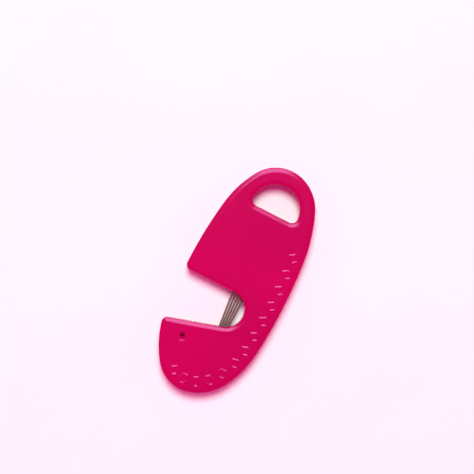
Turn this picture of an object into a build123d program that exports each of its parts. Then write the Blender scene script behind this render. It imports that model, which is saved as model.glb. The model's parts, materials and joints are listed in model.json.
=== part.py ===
"""Hand needle threader: a flat comma-shaped case with a hanging loop and a C-shaped mouth.

Millimetres. The case lies on its back: +Z is up out of the front face, +Y runs along the case from
the foot to the hanging loop, and the origin is within a quarter of a millimetre of the centre of the
case's outline, on the plane that it rests on.
A needle stands eye down in the funnel of the foot. The thumb slide on the back drives a thin steel pusher
through the eye towards -X, and the pusher takes along the thread that lies in the slit of the foot.
Spare needles lie in a slight fan across the mouth, in a flat channel between the two halves of the case.
"""

from build123d import *
import math
import os

# ---- case ----------------------------------------------------------------------------------------
CASE_THICK = 7.6
SPLIT_Z = 3.0  # where the two halves of the case meet
WALL = 1.5
FRONT_SKIN = 1.4
REAR_SKIN = 1.3
CROWN_WIDTH = 1.5  # the front face falls away gently over this width towards its edges
CROWN_DROP = 0.33
CROWN_BLEND_R = 3.0
FRONT_EDGE_R = 0.45
REAR_EDGE_R = 0.8
PARTING_CHAMFER = 0.15
CORNER_R = 2.0
CEILING_Z = CASE_THICK - FRONT_SKIN

# The long side of the comma, from the mouth's upper corner over the loop and round the foot: arcs that turn
# clockwise and run into each other smoothly, each as its radius and its turn in degrees.
LONG_SIDE_START = (-19.95, -3.4)
LONG_SIDE_HEADING = 87.67
LONG_SIDE = [
    (164.5, 9.75),
    (39.6, 23.3),
    (14.15, 78.55),
    (16.1, 46.23),
    (62.4, 17.97),
    (204.2, 10.29),
    (40.7, 23.3),
    (18.45, 48.03),
    (13.2, 67.4),
    (39.7, 24.8),
]

# ---- mouth ---------------------------------------------------------------------------------------
MOUTH_R = 6.9
MOUTH_CENTRE = (0.15, -11.3)

# ---- hanging loop --------------------------------------------------------------------------------
LOOP_CENTRE = (1.85, 29.5)
LOOP_R = 9.15
LOOP_FLAT_Y = 27.6
LOOP_FLAT_ANGLE = -3.0
LOOP_CORNER_R = 2.3

# ---- spare needles -------------------------------------------------------------------------------
NEEDLE_COUNT = 5
NEEDLE_D = 0.65
NEEDLE_LENGTH = 36.0
NEEDLE_POINT = 5.0
NEEDLE_EYE = (1.6, 0.3)  # length and width
ROW_X = 2.2  # where the middle needle comes out of the foot
ROW_Y = -17.85
ROW_PITCH = 0.78  # from needle to needle there
ROW_LEAN = 0.6  # degrees that the middle needle leans towards +X
ROW_FAN = 1.7  # degrees from needle to needle
EYE_DEPTH = 3.65  # how far the eye ends reach down from there
CHANNEL_HEIGHT = 0.8
CHANNEL_BOTTOM = (-21.9, 2.1)  # Y, and half the width there
CHANNEL_TOP = (19.6, 4.3)
CHANNEL_WALL = 1.0
NEEDLE_Z = SPLIT_Z + CHANNEL_HEIGHT / 2

# ---- needle funnel and seat ----------------------------------------------------------------------
FUNNEL_X = -10.5
FUNNEL_Y = -26.8
FUNNEL_MOUTH_D = 2.8
FUNNEL_EDGE_R = 1.3
FUNNEL_DEPTH = 1.7
FUNNEL_BOSS_D = 4.2
BORE_D = 0.9
SEAT_LEFT_X = -13.2
SEAT_RIGHT_X = -8.3
SEAT_WIDTH = 5.0
SEAT_TOP_Z = 5.0
SEAT_STOP_Z = 2.3  # what the eye end of the needle stands on
SEAT_CORNER_R = 0.5

# ---- thread slit ---------------------------------------------------------------------------------
SLIT_X = -9.2
SLIT_WIDTH = 0.9
SLIT_END_Y = -33.0
SLIT_TOP_Z = 4.6
SLIT_FLARE = 1.4

# ---- slide ---------------------------------------------------------------------------------------
STROKE = 6.0
GAP = 0.1  # running gap above and below the slide
SIDE_GAP = 0.2
PAN_SKIN = 1.1
RECESS_DEPTH = 1.1
RECESS_LEFT_X = -7.2
RECESS_RIGHT_X = 9.4
RECESS_WIDTH = 10.2
RECESS_CORNER_R = 1.2
SLIDE_Y = -30.4
PAN_TOP_Z = RECESS_DEPTH + PAN_SKIN
BUTTON_LENGTH = RECESS_RIGHT_X - RECESS_LEFT_X - STROKE - 2 * SIDE_GAP
BUTTON_CENTRE_X = RECESS_RIGHT_X - SIDE_GAP - BUTTON_LENGTH / 2
BUTTON_WIDTH = RECESS_WIDTH - 2 * SIDE_GAP
BUTTON_THICK = RECESS_DEPTH - 2 * GAP
BUTTON_GROOVES = 5
BUTTON_GROOVE_PITCH = 1.7
BUTTON_GROOVE_R = 0.45
BUTTON_EDGE_R = 0.25
POST_LENGTH = 5.0
POST_WIDTH = 3.6
POST_TOP_Z = 3.8
CARRIAGE_LEFT_X = SEAT_RIGHT_X + STROKE + GAP
CARRIAGE_RIGHT_X = 8.2
CARRIAGE_TOP_Y = -25.6
CARRIAGE_BOTTOM_Y = -33.9
CARRIAGE_TOP_Z = 5.9
CARRIAGE_CORNER_R = 0.5
ARM_RIGHT_X = 4.0
ARM_BOTTOM_Y = -38.2

# ---- pusher blade --------------------------------------------------------------------------------
BLADE_TIP_X = -8.6
BLADE_END_X = 3.0
BLADE_THICK = 0.25
BLADE_HEIGHT = 0.9
BLADE_Z = 3.85
BLADE_NICK = 0.25

# ---- return spring -------------------------------------------------------------------------------
SPRING_Y = -36.2
SPRING_Z = 4.0
SPRING_R = 1.15  # to the middle of the wire
SPRING_WIRE_R = 0.15
SPRING_TURNS = 9
SPRING_LEFT_X = -12.0
SPRING_POCKET = 5.0
SPRING_POCKET_GAP = 0.2
SPRING_END_GAP = 0.01
SPRING_RIB = 1.2
SPRING_RIB_BORDER = 0.6

# ---- pegs that hold the halves together ----------------------------------------------------------
PEG_D = 2.4
PEG_TOP_Z = 5.4
PEG_TIP_GAP = 0.2
BOSS_D = 4.4
PEG_PLACES = [(-15.0, -32.0), (-3.5, -41.6), (13.0, -24.0), (-16.0, 3.0), (15.6, 12.0), (-11.5, 27.0)]

# ---- raised hexagons along the front -------------------------------------------------------------
HEXAGON_START = 0.485  # share of the long side, counted from the mouth's upper corner
HEXAGON_END = 0.885
HEXAGON_COUNT = 13
HEXAGON_INSET = 4.05
HEXAGON_ACROSS = 4.4
HEXAGON_ALONG = 4.4
HEXAGON_SIDE = 2.0  # length of the two sides that run along the row
HEXAGON_LINE = 1.1
HEXAGON_HEIGHT = 0.11
HEXAGON_TAPER = 77  # degrees that the flanks of the lines lean from upright


def block(x0, x1, y0, y1, z0, z1):
    """A box between two corners."""
    return Pos((x0 + x1) / 2, (y0 + y1) / 2, (z0 + z1) / 2) * Box(x1 - x0, y1 - y0, z1 - z0)


def rod(x, y, z0, z1, diameter):
    """A round bar along Z."""
    return Pos(x, y, (z0 + z1) / 2) * Cylinder(diameter / 2, z1 - z0)


def slab(face, z0, z1):
    """A flat face as a plate between two heights."""
    return Pos(0, 0, z0) * extrude(face, amount=z1 - z0, dir=(0, 0, 1))


def long_side():
    """The arcs of the smooth side of the comma."""
    place = LONG_SIDE_START
    heading = math.radians(LONG_SIDE_HEADING)
    arcs = []
    for radius, turn in LONG_SIDE:
        arc = JernArc(place, (math.cos(heading), math.sin(heading)), radius, -turn)
        arcs.append(arc)
        place = tuple(arc @ 1)[:2]
        heading -= math.radians(turn)
    return arcs


def mouth_end(corner, side):
    """Where the straight edge from a corner runs into the mouth's round end: side 1 is above it, -1 below."""
    dx = MOUTH_CENTRE[0] - corner[0]
    dy = MOUTH_CENTRE[1] - corner[1]
    heading = math.atan2(dy, dx) + side * math.asin(MOUTH_R / math.hypot(dx, dy))
    reach = side * MOUTH_R
    return (MOUTH_CENTRE[0] - reach * math.sin(heading), MOUTH_CENTRE[1] + reach * math.cos(heading))


def outline():
    """The comma's outline with its mouth, as a face on Z = 0."""
    arcs = long_side()
    upper_corner = LONG_SIDE_START
    foot_corner = tuple(arcs[-1] @ 1)[:2]
    brow_end = mouth_end(upper_corner, 1)
    lip_end = mouth_end(foot_corner, -1)
    edges = [
        *arcs,
        Line(foot_corner, lip_end),
        ThreePointArc(lip_end, (MOUTH_CENTRE[0] + MOUTH_R, MOUTH_CENTRE[1]), brow_end),
        Line(brow_end, upper_corner),
    ]
    face = make_face(Curve() + edges)
    corners = [v for v in face.vertices() if math.dist((v.X, v.Y), upper_corner) < 0.01]
    corners += [v for v in face.vertices() if math.dist((v.X, v.Y), foot_corner) < 0.01]
    return fillet(corners, CORNER_R)


def loop_hole(grow=0.0):
    """The half-moon of the hanging loop, larger by grow all round."""
    tilt = Pos(LOOP_CENTRE[0], LOOP_FLAT_Y) * Rot(0, 0, LOOP_FLAT_ANGLE)
    below = tilt * Pos(0, -2 * LOOP_R) * Rectangle(6 * LOOP_R, 4 * LOOP_R)
    moon = Pos(*LOOP_CENTRE) * Circle(LOOP_R) - below
    moon = fillet(moon.vertices(), LOOP_CORNER_R)
    return offset(moon, amount=grow) if grow else moon


def channel(grow, z0, z1):
    """The flat channel that the spare needles fan out in, wider than its opening by grow all round."""
    corners = []
    for y, half in (CHANNEL_BOTTOM, CHANNEL_TOP):
        x = ROW_X + (y - ROW_Y) * math.tan(math.radians(ROW_LEAN))
        corners += [(x - half, y), (x + half, y)]
    low_left, low_right, high_left, high_right = corners
    face = make_face(Polyline(low_left, low_right, high_right, high_left, close=True))
    if grow:
        face = offset(face, amount=grow, kind=Kind.INTERSECTION)
    return slab(face, z0, z1)


def edges_at(shape, z, centre=(0, 0), reach=math.inf):
    """The level edges of a shape at a height, whose middles lie within reach of a centre."""
    edges = shape.edges().filter_by_position(Axis.Z, z - 0.01, z + 0.01)
    return [e for e in edges if math.dist(tuple(e.center())[:2], centre) < reach]


def crowned(shape, centre=(0, 0), reach=math.inf):
    """The shape with its front face falling away gently to the edges within reach, which are rounded."""
    front = shape.faces().sort_by(Axis.Z)[-1]
    rim = edges_at(shape, CASE_THICK, centre, reach)
    shape = chamfer(rim, CROWN_WIDTH, CROWN_DROP, reference=front)
    shape = fillet(edges_at(shape, CASE_THICK, centre, reach + CROWN_WIDTH), CROWN_BLEND_R)
    return fillet(edges_at(shape, CASE_THICK - CROWN_DROP, centre, reach), FRONT_EDGE_R)


def thread_slit():
    """The cutter for the slit that the thread is laid in, open to the mouth and to the back."""
    half = SLIT_WIDTH / 2
    slit = block(SLIT_X - half, SLIT_X + half, SLIT_END_Y, MOUTH_CENTRE[1], -1, SLIT_TOP_Z)
    length = MOUTH_CENTRE[1] - SLIT_END_Y
    flare = Pos(SLIT_X, SLIT_END_Y + length / 2, 0) * Rot(0, 45, 0) * Box(SLIT_FLARE, length, SLIT_FLARE)
    return slit + flare


def hexagons():
    """The row of raised hollow hexagons along the back of the comma, each with gently sloping lines."""
    side = Wire(long_side())
    half_along = HEXAGON_ALONG / 2
    half_across = HEXAGON_ACROSS / 2
    half_side = HEXAGON_SIDE / 2
    face = Polygon(
        (half_along, 0),
        (half_side, half_across),
        (-half_side, half_across),
        (-half_along, 0),
        (-half_side, -half_across),
        (half_side, -half_across),
    )
    face -= offset(face, amount=-HEXAGON_LINE, kind=Kind.INTERSECTION)
    lines = Pos(0, 0, CASE_THICK) * extrude(face, amount=HEXAGON_HEIGHT, taper=HEXAGON_TAPER)
    hexagon = lines + slab(face, CASE_THICK - FRONT_SKIN / 2, CASE_THICK)
    placed = []
    for index in range(HEXAGON_COUNT):
        share = HEXAGON_START + (HEXAGON_END - HEXAGON_START) * index / (HEXAGON_COUNT - 1)
        point = side @ share
        along = side % share
        turn = math.degrees(math.atan2(along.Y, along.X))
        placed.append(Pos(point.X, point.Y) * Rot(0, 0, turn) * Pos(0, -HEXAGON_INSET) * hexagon)
    return placed


def front_shell():
    """Front half of the case: skin, rim, funnel, peg sockets, needle channel and raised hexagons."""
    face = outline()
    inside = offset(face, amount=-WALL)
    shell = crowned(slab(face, SPLIT_Z, CASE_THICK))
    shell = chamfer(edges_at(shell, SPLIT_Z), PARTING_CHAMFER)
    shell -= slab(inside, SPLIT_Z, CEILING_Z)
    within = slab(face, SPLIT_Z, CEILING_Z)
    shell += channel(CHANNEL_WALL, SPLIT_Z, CEILING_Z) & within
    shell += slab(loop_hole(WALL), SPLIT_Z, CEILING_Z) & within
    shell += rod(FUNNEL_X, FUNNEL_Y, SEAT_TOP_Z, CEILING_Z, FUNNEL_BOSS_D)
    for x, y in PEG_PLACES:
        shell += rod(x, y, SPLIT_Z, CEILING_Z, BOSS_D) & within
    rib_left = SPRING_LEFT_X - SPRING_RIB
    rib_half = SPRING_R + SPRING_WIRE_R + SPRING_RIB_BORDER
    shell += block(rib_left, SPRING_LEFT_X, SPRING_Y - rib_half, SPRING_Y + rib_half, SPLIT_Z, CEILING_Z)
    # openings
    shell -= channel(0, SPLIT_Z, SPLIT_Z + CHANNEL_HEIGHT)
    for x, y in PEG_PLACES:
        shell -= rod(x, y, SPLIT_Z, PEG_TOP_Z + PEG_TIP_GAP, PEG_D)
    shell -= rod(FUNNEL_X, FUNNEL_Y, SPLIT_Z, CASE_THICK, BORE_D)
    cone_z = CASE_THICK - FUNNEL_DEPTH
    cone = Cone(BORE_D / 2, FUNNEL_MOUTH_D / 2, FUNNEL_DEPTH)
    shell -= Pos(FUNNEL_X, FUNNEL_Y, cone_z + FUNNEL_DEPTH / 2) * cone
    shell -= thread_slit()
    shell -= slab(loop_hole(), SPLIT_Z - 1, CASE_THICK + 1)
    shell = crowned(shell, LOOP_CENTRE, LOOP_R + 0.5)
    shell = fillet(edges_at(shell, CASE_THICK, (FUNNEL_X, FUNNEL_Y), FUNNEL_MOUTH_D), FUNNEL_EDGE_R)
    for hexagon in hexagons():
        shell += hexagon
    return shell


def rear_shell():
    """Rear half of the case: skin, rim, pegs, needle bed, button recess and the window for its post."""
    face = outline()
    inside = offset(face, amount=-WALL)
    shell = slab(face, 0, SPLIT_Z)
    shell = fillet(edges_at(shell, 0), REAR_EDGE_R)
    shell = chamfer(edges_at(shell, SPLIT_Z), PARTING_CHAMFER)
    shell -= slab(inside, REAR_SKIN, SPLIT_Z)
    within = slab(face, REAR_SKIN, SPLIT_Z)
    shell += channel(CHANNEL_WALL, REAR_SKIN, SPLIT_Z) & within
    shell += slab(loop_hole(WALL), REAR_SKIN, SPLIT_Z) & within
    for x, y in PEG_PLACES:
        shell += rod(x, y, REAR_SKIN - 0.1, PEG_TOP_Z, PEG_D)
    half = RECESS_WIDTH / 2
    shell += block(
        RECESS_LEFT_X - 1, RECESS_RIGHT_X + 1, SLIDE_Y - half - 1, SLIDE_Y + half, REAR_SKIN - 0.1, PAN_TOP_Z
    ) & slab(face, 0, SPLIT_Z)
    # openings
    recess = block(RECESS_LEFT_X, RECESS_RIGHT_X, SLIDE_Y - half, SLIDE_Y + half, -1, RECESS_DEPTH)
    shell -= fillet(recess.edges().filter_by(Axis.Z), RECESS_CORNER_R)
    post_left = BUTTON_CENTRE_X - POST_LENGTH / 2
    window_right = BUTTON_CENTRE_X + POST_LENGTH / 2 + SIDE_GAP
    window_half = POST_WIDTH / 2 + SIDE_GAP
    shell -= block(
        post_left - STROKE - SIDE_GAP, window_right, SLIDE_Y - window_half, SLIDE_Y + window_half, 0, SPLIT_Z
    )
    shell -= thread_slit()
    shell -= slab(loop_hole(), -1, SPLIT_Z + 1)
    return shell


def needle_seat():
    """The insert that stands the needle eye down, with a slot for the pusher and one for the thread."""
    half = SEAT_WIDTH / 2
    seat = block(SEAT_LEFT_X, SEAT_RIGHT_X, FUNNEL_Y - half, FUNNEL_Y + half, REAR_SKIN, SEAT_TOP_Z)
    seat = fillet(seat.edges().filter_by(Axis.Z), SEAT_CORNER_R)
    seat -= rod(FUNNEL_X, FUNNEL_Y, SEAT_STOP_Z, SEAT_TOP_Z, BORE_D)
    slot_z = BLADE_HEIGHT / 2 + GAP
    slot_y = BLADE_THICK / 2 + GAP
    seat -= block(
        SEAT_LEFT_X, SEAT_RIGHT_X, FUNNEL_Y - slot_y, FUNNEL_Y + slot_y, BLADE_Z - slot_z, BLADE_Z + slot_z
    )
    return seat - thread_slit()


def slide_carriage():
    """The inner half of the slide: it holds the blade, the spring and the button's post."""
    z0 = PAN_TOP_Z + GAP
    carriage = block(CARRIAGE_LEFT_X, CARRIAGE_RIGHT_X, CARRIAGE_BOTTOM_Y, CARRIAGE_TOP_Y, z0, CARRIAGE_TOP_Z)
    arm = block(CARRIAGE_LEFT_X, ARM_RIGHT_X, ARM_BOTTOM_Y, CARRIAGE_BOTTOM_Y + 1, z0, CARRIAGE_TOP_Z)
    carriage = fillet((carriage + arm).edges().filter_by(Axis.Z), CARRIAGE_CORNER_R)
    pocket_x = CARRIAGE_LEFT_X + SPRING_POCKET / 2
    pocket_r = SPRING_R + SPRING_WIRE_R + SPRING_POCKET_GAP
    carriage -= Pos(pocket_x, SPRING_Y, SPRING_Z) * Rot(0, 90, 0) * Cylinder(pocket_r, SPRING_POCKET)
    carriage -= block(
        BUTTON_CENTRE_X - POST_LENGTH / 2,
        BUTTON_CENTRE_X + POST_LENGTH / 2,
        SLIDE_Y - POST_WIDTH / 2,
        SLIDE_Y + POST_WIDTH / 2,
        z0,
        POST_TOP_Z,
    )
    carriage -= blade_bar()
    return carriage


def thumb_button():
    """The outer half of the slide: a grooved pad in the recess, with a post that clips into the carriage."""
    z0 = GAP
    place = Pos(BUTTON_CENTRE_X, SLIDE_Y, z0 + BUTTON_THICK / 2)
    pad = place * Box(BUTTON_LENGTH, BUTTON_WIDTH, BUTTON_THICK)
    pad = fillet(pad.edges().filter_by(Axis.Z), RECESS_CORNER_R)
    pad = fillet(pad.edges().filter_by_position(Axis.Z, z0 - 0.01, z0 + 0.01), BUTTON_EDGE_R)
    for groove in range(BUTTON_GROOVES):
        x = BUTTON_CENTRE_X + (groove - (BUTTON_GROOVES - 1) / 2) * BUTTON_GROOVE_PITCH
        pad -= Pos(x, SLIDE_Y, z0) * Rot(90, 0, 0) * Cylinder(BUTTON_GROOVE_R, BUTTON_WIDTH - 2)
    post = Pos(BUTTON_CENTRE_X, SLIDE_Y, (z0 + BUTTON_THICK + POST_TOP_Z) / 2)
    return pad + post * Box(POST_LENGTH, POST_WIDTH, POST_TOP_Z - z0 - BUTTON_THICK)


def blade_bar():
    """The pusher's plain strip."""
    half = BLADE_THICK / 2
    z = BLADE_HEIGHT / 2
    return block(BLADE_TIP_X, BLADE_END_X, FUNNEL_Y - half, FUNNEL_Y + half, BLADE_Z - z, BLADE_Z + z)


def pusher_blade():
    """The thin steel pusher, with a V nick in its tip that holds the thread."""
    nick = Pos(BLADE_TIP_X, FUNNEL_Y, BLADE_Z) * Rot(0, 45, 0) * Box(2 * BLADE_NICK, 1, 2 * BLADE_NICK)
    return blade_bar() - nick


def return_spring():
    """The compression spring that brings the slide back."""
    end_gap = SPRING_WIRE_R + SPRING_END_GAP
    length = CARRIAGE_LEFT_X + SPRING_POCKET - SPRING_LEFT_X - 2 * end_gap
    path = Helix(length / SPRING_TURNS, length, SPRING_R)
    start = Plane(path @ 0, z_dir=path % 0)
    coil = sweep(start * Circle(SPRING_WIRE_R), path=path)
    return Pos(SPRING_LEFT_X + end_gap, SPRING_Y, SPRING_Z) * Rot(0, 90, 0) * coil


def needle(index):
    """One spare needle: a pointed shank with a flattened eye end, point towards the loop."""
    r = NEEDLE_D / 2
    end = -EYE_DEPTH
    point = end + NEEDLE_LENGTH
    taper = point - NEEDLE_POINT
    profile = Polyline(
        (0, end),
        (r * 0.55, end + 0.05),
        (r * 0.9, end + 0.6),
        (r, end + 3.4),
        (r, taper),
        (r * 0.72, taper + 0.5 * NEEDLE_POINT),
        (0.05, point - 0.05),
        (0, point),
        close=True,
    )
    shank = revolve(make_face(profile), axis=Axis.Y)
    eye_length, eye_width = NEEDLE_EYE
    eye = Pos(0, end + 0.75 + eye_length / 2) * Rot(0, 0, 90) * SlotOverall(eye_length, eye_width)
    shank -= extrude(eye, amount=NEEDLE_D, both=True)
    place = index - (NEEDLE_COUNT - 1) / 2
    lean = ROW_LEAN + place * ROW_FAN
    return Pos(ROW_X + place * ROW_PITCH, ROW_Y, NEEDLE_Z) * Rot(0, 0, -lean) * shank


def main():
    os.makedirs("parts", exist_ok=True)
    parts = {
        "front_shell": front_shell(),
        "rear_shell": rear_shell(),
        "needle_seat": needle_seat(),
        "slide_carriage": slide_carriage(),
        "thumb_button": thumb_button(),
        "pusher_blade": pusher_blade(),
        "return_spring": return_spring(),
    }
    for index in range(NEEDLE_COUNT):
        parts[f"needle_{index + 1}"] = needle(index)
    for name, part in parts.items():
        export_step(part, f"parts/{name}.step")


main()
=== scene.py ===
"""Looks of the needle threader: glossy magenta case, steel needles with gold eyes, studio floor and light.

Everything is in metres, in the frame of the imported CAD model: +Z up out of the front face, +Y along the
case towards the hanging loop.
"""

import json
import math

import bpy
import numpy as np
from mathutils import Matrix, Vector


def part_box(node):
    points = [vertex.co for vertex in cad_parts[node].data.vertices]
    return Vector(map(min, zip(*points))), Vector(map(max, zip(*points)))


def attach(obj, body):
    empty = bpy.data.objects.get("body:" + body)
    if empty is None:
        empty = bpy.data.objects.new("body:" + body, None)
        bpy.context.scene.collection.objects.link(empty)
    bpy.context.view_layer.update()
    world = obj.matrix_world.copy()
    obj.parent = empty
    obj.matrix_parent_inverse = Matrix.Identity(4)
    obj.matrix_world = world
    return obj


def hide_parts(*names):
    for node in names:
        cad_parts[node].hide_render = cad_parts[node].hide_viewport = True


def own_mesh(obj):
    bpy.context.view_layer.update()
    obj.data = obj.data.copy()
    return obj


MM = 0.001

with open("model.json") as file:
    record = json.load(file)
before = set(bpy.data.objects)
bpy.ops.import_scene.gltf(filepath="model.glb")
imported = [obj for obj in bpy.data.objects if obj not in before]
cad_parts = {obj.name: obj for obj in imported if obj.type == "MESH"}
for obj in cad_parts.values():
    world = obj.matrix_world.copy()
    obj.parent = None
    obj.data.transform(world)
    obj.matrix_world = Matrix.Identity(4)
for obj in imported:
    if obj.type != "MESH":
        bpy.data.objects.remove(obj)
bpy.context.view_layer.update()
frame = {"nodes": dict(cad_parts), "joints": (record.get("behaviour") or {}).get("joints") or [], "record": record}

# ---- view ----------------------------------------------------------------------------------------
ROLL = math.radians(24)  # how far the case leans to the right in the picture
VIEW_CENTRE = Vector((-6.85, 14.52, 5.0)) * MM
VIEW_WIDTH = 175.4 * MM
VIEW_DISTANCE = 600 * MM
SENSOR = 36.0
PICTURE_UP = Vector((-math.sin(ROLL), math.cos(ROLL), 0))

# ---- colours, linear -----------------------------------------------------------------------------
MAGENTA = (0.50, 0.001, 0.088)
MAGENTA_DEEP = (0.45, 0.001, 0.078)
STEEL = (0.205, 0.167, 0.122)
BRIGHT_STEEL = (0.66, 0.66, 0.67)
WIRE_STEEL = (0.46, 0.46, 0.47)
GOLD = (0.80, 0.56, 0.25)
CARD = (0.98, 0.86, 0.94)
KEY_LIGHT = (0.60, 1.0, 0.84)

# ---- plastic -------------------------------------------------------------------------------------
PLASTIC_IOR = 1.49
GLOSS_LEVEL = 0.22
GLOSS_TINT = (1.0, 0.36, 1.0)
GLOW_REACH = 1.2 * MM  # how far light spreads inside the plastic
GLOW_COLOURS = (1.0, 0.06, 0.15)  # share of that reach for red, green and blue

# ---- light ---------------------------------------------------------------------------------------
KEY_ANGLE = math.radians(22.5)  # from straight above, towards the top of the picture
KEY_SPREAD = math.radians(25)  # how wide the light is, seen from the case
KEY_DISTANCE = 600 * MM
BOX_POWER = 1.0
WASH_POWER = 2.36
FLOOR_REACH = 1.6
FLOOR_DROP = 0.02 * MM  # keeps the floor clear of the flat back of the case

# What the studio shows at a height: the sine of the angle above the horizon, and the colour there
SKY = [
    (0.0, (0.75, 0.67, 0.72)),
    (0.12, (0.74, 0.60, 0.68)),
    (0.30, (0.61, 0.20, 0.41)),
    (0.60, (0.66, 0.14, 0.36)),
    (0.86, (0.76, 0.010, 0.26)),
]
SKY_POWER = 1.2

# ---- needles -------------------------------------------------------------------------------------
NEEDLE_SIDES = 24
NEEDLE_TAPER = 6.0 * MM
NEEDLE_ROUND = 0.5 * MM  # length of the rounded tip of the eye end
FLAT_END = 2.6 * MM  # where the flattened eye end begins to turn into the round shank
SHANK_START = 4.0 * MM
SHORTER = 0.02 * MM  # how much shorter the finished needle is than the CAD one
SHARP_ANGLE = math.radians(35)
EYE_START = 0.75 * MM
EYE_LENGTH = 1.6 * MM
EYE_WIDTH = 0.3 * MM
GOLD_END = 2.9 * MM  # how far the gold reaches from the eye end
GOLD_FADE = (-0.5 * MM, 0.4 * MM)

# ---- spring --------------------------------------------------------------------------------------
WIRE_RADIUS = 0.15 * MM
WIRE_SIDES = 10
SPRING_TURNS = 11
SPRING_STEPS = 26  # rings in each turn
CLOSED_TURNS = 1.5  # turns that lie side by side at each end
CLOSED_PITCH = 2.05 * WIRE_RADIUS


# ---- node helpers --------------------------------------------------------------------------------
def new_material(name):
    """An empty node material: its node tree, its shader and the position in the CAD frame."""
    material = bpy.data.materials.new(name)
    material.use_nodes = True
    tree = material.node_tree
    shader = tree.nodes["Principled BSDF"]
    position = tree.nodes.new("ShaderNodeTexCoord").outputs["Object"]
    return material, tree, shader, position


def stretched(tree, position, scale):
    """The position, scaled along each axis."""
    mapping = tree.nodes.new("ShaderNodeMapping")
    mapping.inputs["Scale"].default_value = scale
    tree.links.new(position, mapping.inputs["Vector"])
    return mapping.outputs["Vector"]


def noise(tree, vector, scale, detail=2.0, roughness=0.5):
    """Noise with a value of about 0.3 to 0.7."""
    texture = tree.nodes.new("ShaderNodeTexNoise")
    texture.inputs["Scale"].default_value = scale
    texture.inputs["Detail"].default_value = detail
    texture.inputs["Roughness"].default_value = roughness
    tree.links.new(vector, texture.inputs["Vector"])
    return texture.outputs["Fac"]


def ranged(tree, value, from_min, from_max, to_min, to_max):
    """A value moved from one range to another."""
    node = tree.nodes.new("ShaderNodeMapRange")
    numbers = {"From Min": from_min, "From Max": from_max, "To Min": to_min, "To Max": to_max}
    for socket, number in numbers.items():
        node.inputs[socket].default_value = number
    tree.links.new(value, node.inputs["Value"])
    return node.outputs["Result"]


def mixed(tree, factor, a, b):
    """A colour between a and b; each is three numbers or a socket."""
    node = tree.nodes.new("ShaderNodeMix")
    node.data_type = "RGBA"
    tree.links.new(factor, node.inputs["Factor"])
    # the colour sockets share their names with number and vector ones, so they go by their places
    for socket, colour in ((node.inputs[6], a), (node.inputs[7], b)):
        if isinstance(colour, tuple):
            socket.default_value = (*colour, 1)
        else:
            tree.links.new(colour, socket)
    return node.outputs[2]


def bump(tree, heights):
    """The normal from several (height, distance, strength) bumps on top of each other."""
    normal = None
    for height, distance, strength in heights:
        node = tree.nodes.new("ShaderNodeBump")
        node.inputs["Distance"].default_value = distance
        node.inputs["Strength"].default_value = strength
        tree.links.new(height, node.inputs["Height"])
        if normal:
            tree.links.new(normal, node.inputs["Normal"])
        normal = node.outputs["Normal"]
    return normal


# ---- materials -----------------------------------------------------------------------------------
def moulded_plastic(name, light, deep, gloss, glow):
    """Injection-moulded plastic: slow colour drift, faint flow waves and a fine mould texture."""
    material, tree, shader, position = new_material(name)
    drift = ranged(tree, noise(tree, position, 38), 0.35, 0.65, 0, 1)
    tree.links.new(mixed(tree, drift, light, deep), shader.inputs["Base Color"])
    patches = noise(tree, position, 420, 3)
    roughness = ranged(tree, patches, 0.3, 0.7, gloss - 0.02, gloss + 0.03)
    tree.links.new(roughness, shader.inputs["Roughness"])
    waves = noise(tree, position, 90, 1)
    texture = noise(tree, position, 5200, 2)
    normal = bump(tree, [(waves, 0.1 * MM, 0.03), (texture, 0.01 * MM, 0.08)])
    tree.links.new(normal, shader.inputs["Normal"])
    shader.inputs["IOR"].default_value = PLASTIC_IOR
    shader.inputs["Specular IOR Level"].default_value = GLOSS_LEVEL
    shader.inputs["Specular Tint"].default_value = (*GLOSS_TINT, 1)
    shader.inputs["Subsurface Weight"].default_value = glow
    shader.inputs["Subsurface Radius"].default_value = GLOW_COLOURS
    shader.inputs["Subsurface Scale"].default_value = GLOW_REACH
    return material


def drawn_metal(name, colour, roughness, scale):
    """Metal with fine lines along its length; scale is small along the lines."""
    material, tree, shader, position = new_material(name)
    lines = noise(tree, stretched(tree, position, scale), 1, 3, 0.6)
    tone = mixed(tree, ranged(tree, lines, 0.3, 0.7, 0, 1), tuple(c * 0.72 for c in colour), colour)
    tree.links.new(tone, shader.inputs["Base Color"])
    tree.links.new(ranged(tree, lines, 0.3, 0.7, roughness, roughness + 0.14), shader.inputs["Roughness"])
    tree.links.new(bump(tree, [(lines, 0.004 * MM, 0.3)]), shader.inputs["Normal"])
    shader.inputs["Metallic"].default_value = 1
    return material


def needle_metal():
    """Polished nickel plate that turns to gold towards the eye, with faint lines along the shank."""
    material, tree, shader, position = new_material("needle_plating")
    lines = noise(tree, stretched(tree, position, (9000, 260, 9000)), 1, 3, 0.6)
    steel = mixed(tree, ranged(tree, lines, 0.3, 0.7, 0, 1), tuple(c * 0.8 for c in STEEL), STEEL)
    axes = tree.nodes.new("ShaderNodeSeparateXYZ")
    tree.links.new(position, axes.inputs["Vector"])
    edge = ranged(tree, axes.outputs["Y"], GOLD_END + GOLD_FADE[0], GOLD_END + GOLD_FADE[1], 0, 1)
    tree.links.new(mixed(tree, edge, GOLD, steel), shader.inputs["Base Color"])
    tree.links.new(ranged(tree, lines, 0.3, 0.7, 0.36, 0.5), shader.inputs["Roughness"])
    tree.links.new(bump(tree, [(lines, 0.003 * MM, 0.25)]), shader.inputs["Normal"])
    shader.inputs["Metallic"].default_value = 1
    return material


def floor_card():
    """Matte pale card with a faint tooth."""
    material, tree, shader, position = new_material("floor_card")
    mottle = ranged(tree, noise(tree, position, 22, 3), 0.3, 0.7, 0, 1)
    tree.links.new(mixed(tree, mottle, CARD, tuple(c * 0.985 for c in CARD)), shader.inputs["Base Color"])
    tree.links.new(bump(tree, [(noise(tree, position, 2400, 3), 0.03 * MM, 0.25)]), shader.inputs["Normal"])
    shader.inputs["Roughness"].default_value = 0.75
    return material


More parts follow.
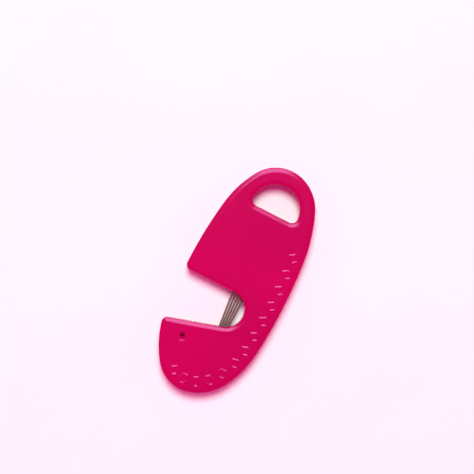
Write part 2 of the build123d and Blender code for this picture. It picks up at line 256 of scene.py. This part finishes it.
# ---- pieces --------------------------------------------------------------------------------------
def paint(name, material):
    """Gives a CAD node its finish."""
    node = frame["nodes"][name]
    node.data.materials.clear()
    node.data.materials.append(material)


def mesh_object(name, vertices, faces, material):
    """A smooth-shaded mesh object."""
    mesh = bpy.data.meshes.new(name)
    mesh.from_pydata([tuple(v) for v in vertices], [], faces)
    mesh.shade_smooth()
    mesh.materials.append(material)
    piece = bpy.data.objects.new(name, mesh)
    bpy.context.scene.collection.objects.link(piece)
    return piece


def tube(name, rings, material):
    """A closed tube through rings of points, with a cap at each end."""
    sides = len(rings[0])
    vertices = [p for ring in rings for p in ring]
    faces = []
    for row in range(len(rings) - 1):
        for side in range(sides):
            after = (side + 1) % sides
            low, high = row * sides, (row + 1) * sides
            faces.append((low + side, low + after, high + after, high + side))
    faces.append(tuple(reversed(range(sides))))
    faces.append(tuple(range(len(vertices) - sides, len(vertices))))
    return mesh_object(name, vertices, faces, material)


def cut(piece, cutter):
    """Takes the cutter's shape out of the piece for good."""
    modifier = piece.modifiers.new("cut", "BOOLEAN")
    modifier.operation = "DIFFERENCE"
    modifier.object = cutter
    modifier.solver = "EXACT"
    seen = piece.evaluated_get(bpy.context.evaluated_depsgraph_get())
    piece.data = bpy.data.meshes.new_from_object(seen)
    piece.modifiers.clear()
    bpy.data.objects.remove(cutter)
    piece.data.set_sharp_from_angle(angle=SHARP_ANGLE)


def eye_cutter(radius):
    """The slot through a needle's eye end, with round ends."""
    sides = 12
    ends = ((EYE_START + EYE_WIDTH / 2, math.pi), (EYE_START + EYE_LENGTH - EYE_WIDTH / 2, 0))
    outline = []
    for y, start in ends:
        for step in range(sides + 1):
            angle = start + math.pi * step / sides
            outline.append((EYE_WIDTH / 2 * math.cos(angle), y + EYE_WIDTH / 2 * math.sin(angle)))
    depth = 2 * radius
    rings = [[(x, y, z) for x, y in outline] for z in (-depth, depth)]
    return tube("eye_cutter", rings, None)


def needle_rings(radius, length):
    """Cross-sections of a sewing needle from its eye end to its point, along +Y."""
    places = list(np.linspace(0, NEEDLE_ROUND, 7)) + list(np.linspace(0.7 * MM, SHANK_START, 18))
    places += list(np.linspace(6 * MM, length - NEEDLE_TAPER, 6))
    places += list(length - NEEDLE_TAPER * (1 - np.linspace(0, 1, 16)[1:]))
    rings = []
    for y in places:
        start = min(1, y / NEEDLE_ROUND)
        across = radius * (0.25 + 0.68 * math.sqrt(1 - (1 - start) ** 2))
        rise = min(1, max(0, (y - FLAT_END) / (SHANK_START - FLAT_END)))
        shank = rise * rise * (3 - 2 * rise)
        across += (radius - across) * shank
        thick = across * (0.8 + 0.2 * shank)
        to_point = max(0, (y - (length - NEEDLE_TAPER)) / NEEDLE_TAPER)
        taper = 1 - 0.97 * to_point**1.7
        turns = [2 * math.pi * s / NEEDLE_SIDES for s in range(NEEDLE_SIDES)]
        rings.append([(across * taper * math.sin(a), y, thick * taper * math.cos(a)) for a in turns])
    return rings


def make_needle(joint, material):
    """The finished needle in place of a CAD one, on the line that it slides along."""
    body = joint["child"]
    node = frame["record"]["behaviour"]["bodies"][body][0]
    along = Vector(joint["axis"]).normalized()
    points = np.array([v.co for v in frame["nodes"][node].data.vertices])
    reach = points @ np.array(along)
    low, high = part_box(node)
    radius = (high.z - low.z) / 2
    length = reach.max() - reach.min()
    tip = Vector(points[reach.argmax()])
    tip.z = (low.z + high.z) / 2
    piece = tube(node + "_fine", needle_rings(radius, length - SHORTER), material)
    cut(piece, eye_cutter(radius))
    lean = math.atan2(along.x, along.y)
    piece.matrix_world = Matrix.Translation(tip - along * length) @ Matrix.Rotation(-lean, 4, "Z")
    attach(piece, body)
    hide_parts(node)


def make_spring(material):
    """The return spring as wound wire with closed ends."""
    low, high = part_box("return_spring")
    centre = (low + high) / 2
    coil = (high.y - low.y) / 2 - WIRE_RADIUS
    span = high.x - low.x - 2 * WIRE_RADIUS
    solid = CLOSED_PITCH * CLOSED_TURNS
    around = [2 * math.pi * side / WIRE_SIDES for side in range(WIRE_SIDES)]
    across = Vector((1, 0, 0))
    rings = []
    for step in range(SPRING_TURNS * SPRING_STEPS + 1):
        turn = step / SPRING_STEPS
        open_share = (turn - CLOSED_TURNS) / (SPRING_TURNS - 2 * CLOSED_TURNS)
        if turn < CLOSED_TURNS:
            x = solid * turn / CLOSED_TURNS
        elif turn > SPRING_TURNS - CLOSED_TURNS:
            x = span - solid * (SPRING_TURNS - turn) / CLOSED_TURNS
        else:
            x = solid + (span - 2 * solid) * open_share
        angle = 2 * math.pi * turn
        out = Vector((0, math.cos(angle), math.sin(angle)))
        middle = Vector((low.x + WIRE_RADIUS + x, centre.y, centre.z)) + out * coil
        rings.append([middle + WIRE_RADIUS * (math.cos(a) * out + math.sin(a) * across) for a in around])
    piece = tube("spring_wire", rings, material)
    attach(piece, "case")
    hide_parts("return_spring")
    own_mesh(piece)


# ---- studio --------------------------------------------------------------------------------------
def make_floor():
    """A flat card under the case, wide enough to reach past every view."""
    places = ((-1, -1), (1, -1), (1, 1), (-1, 1))
    corners = [(x * FLOOR_REACH, y * FLOOR_REACH, -FLOOR_DROP) for x, y in places]
    floor = mesh_object("floor", corners, [(0, 1, 2, 3)], floor_card())


def aimed(name, kind, power):
    """A light of the key's colour, from the key's side and aimed at the case."""
    data = bpy.data.lights.new(name, kind)
    data.color = KEY_LIGHT
    data.energy = power
    light = bpy.data.objects.new(name, data)
    away = PICTURE_UP * math.sin(KEY_ANGLE) + Vector((0, 0, math.cos(KEY_ANGLE)))
    light.location = VIEW_CENTRE + away * KEY_DISTANCE
    light.rotation_mode = "QUATERNION"
    light.rotation_quaternion = away.to_track_quat("Z", "Y")
    bpy.context.scene.collection.objects.link(light)
    return data


def make_lights():
    """A soft box near the case and an even wash from the same side, which keeps the far floor bright."""
    box = aimed("soft_box", "AREA", BOX_POWER)
    box.shape = "DISK"
    box.size = 2 * KEY_DISTANCE * math.tan(KEY_SPREAD / 2)
    wash = aimed("wash", "SUN", WASH_POWER)
    wash.angle = KEY_SPREAD


def make_world():
    """A pale horizon, pink walls and a rose ceiling, which keep the face's colour and the shadows pink."""
    world = bpy.data.worlds.new("studio")
    world.use_nodes = True
    tree = world.node_tree
    direction = tree.nodes.new("ShaderNodeTexCoord").outputs["Generated"]
    axes = tree.nodes.new("ShaderNodeSeparateXYZ")
    tree.links.new(direction, axes.inputs["Vector"])
    ramp = tree.nodes.new("ShaderNodeValToRGB")
    steps = ramp.color_ramp.elements
    while len(steps) < len(SKY):
        steps.new(1)
    for step, (height, colour) in zip(steps, SKY):
        step.position = height
        step.color = (*colour, 1)
    tree.links.new(axes.outputs["Z"], ramp.inputs["Fac"])
    background = tree.nodes["Background"]
    tree.links.new(ramp.outputs["Color"], background.inputs["Color"])
    background.inputs["Strength"].default_value = SKY_POWER
    bpy.context.scene.world = world


def make_camera():
    """A long lens straight above the case, turned so that the case leans to the right."""
    data = bpy.data.cameras.new("camera")
    data.sensor_width = SENSOR
    data.lens = SENSOR * VIEW_DISTANCE / VIEW_WIDTH
    camera = bpy.data.objects.new("camera", data)
    camera.location = VIEW_CENTRE + Vector((0, 0, VIEW_DISTANCE))
    camera.rotation_euler = (0, 0, ROLL)
    bpy.context.scene.collection.objects.link(camera)
    bpy.context.scene.camera = camera


# ---- the scene -----------------------------------------------------------------------------------
case_plastic = moulded_plastic("case_plastic", MAGENTA, MAGENTA_DEEP, gloss=0.17, glow=0.35)
slide_plastic = moulded_plastic("slide_plastic", MAGENTA_DEEP, MAGENTA, gloss=0.26, glow=0.3)
seat_plastic = moulded_plastic("seat_plastic", MAGENTA, MAGENTA_DEEP, gloss=0.42, glow=0.4)
blade_steel = drawn_metal("blade_steel", BRIGHT_STEEL, roughness=0.24, scale=(300, 9000, 9000))
wire_steel = drawn_metal("wire_steel", WIRE_STEEL, roughness=0.3, scale=(6000, 6000, 6000))
plating = needle_metal()

for name in ("front_shell", "rear_shell"):
    paint(name, case_plastic)
for name in ("slide_carriage", "thumb_button"):
    paint(name, slide_plastic)
paint("needle_seat", seat_plastic)
paint("pusher_blade", blade_steel)
for joint in frame["joints"]:
    if joint["name"].startswith("needle_"):
        make_needle(joint, plating)
make_spring(wire_steel)

make_floor()
make_world()
make_lights()
make_camera()
bpy.context.scene.view_settings.view_transform = "Standard"
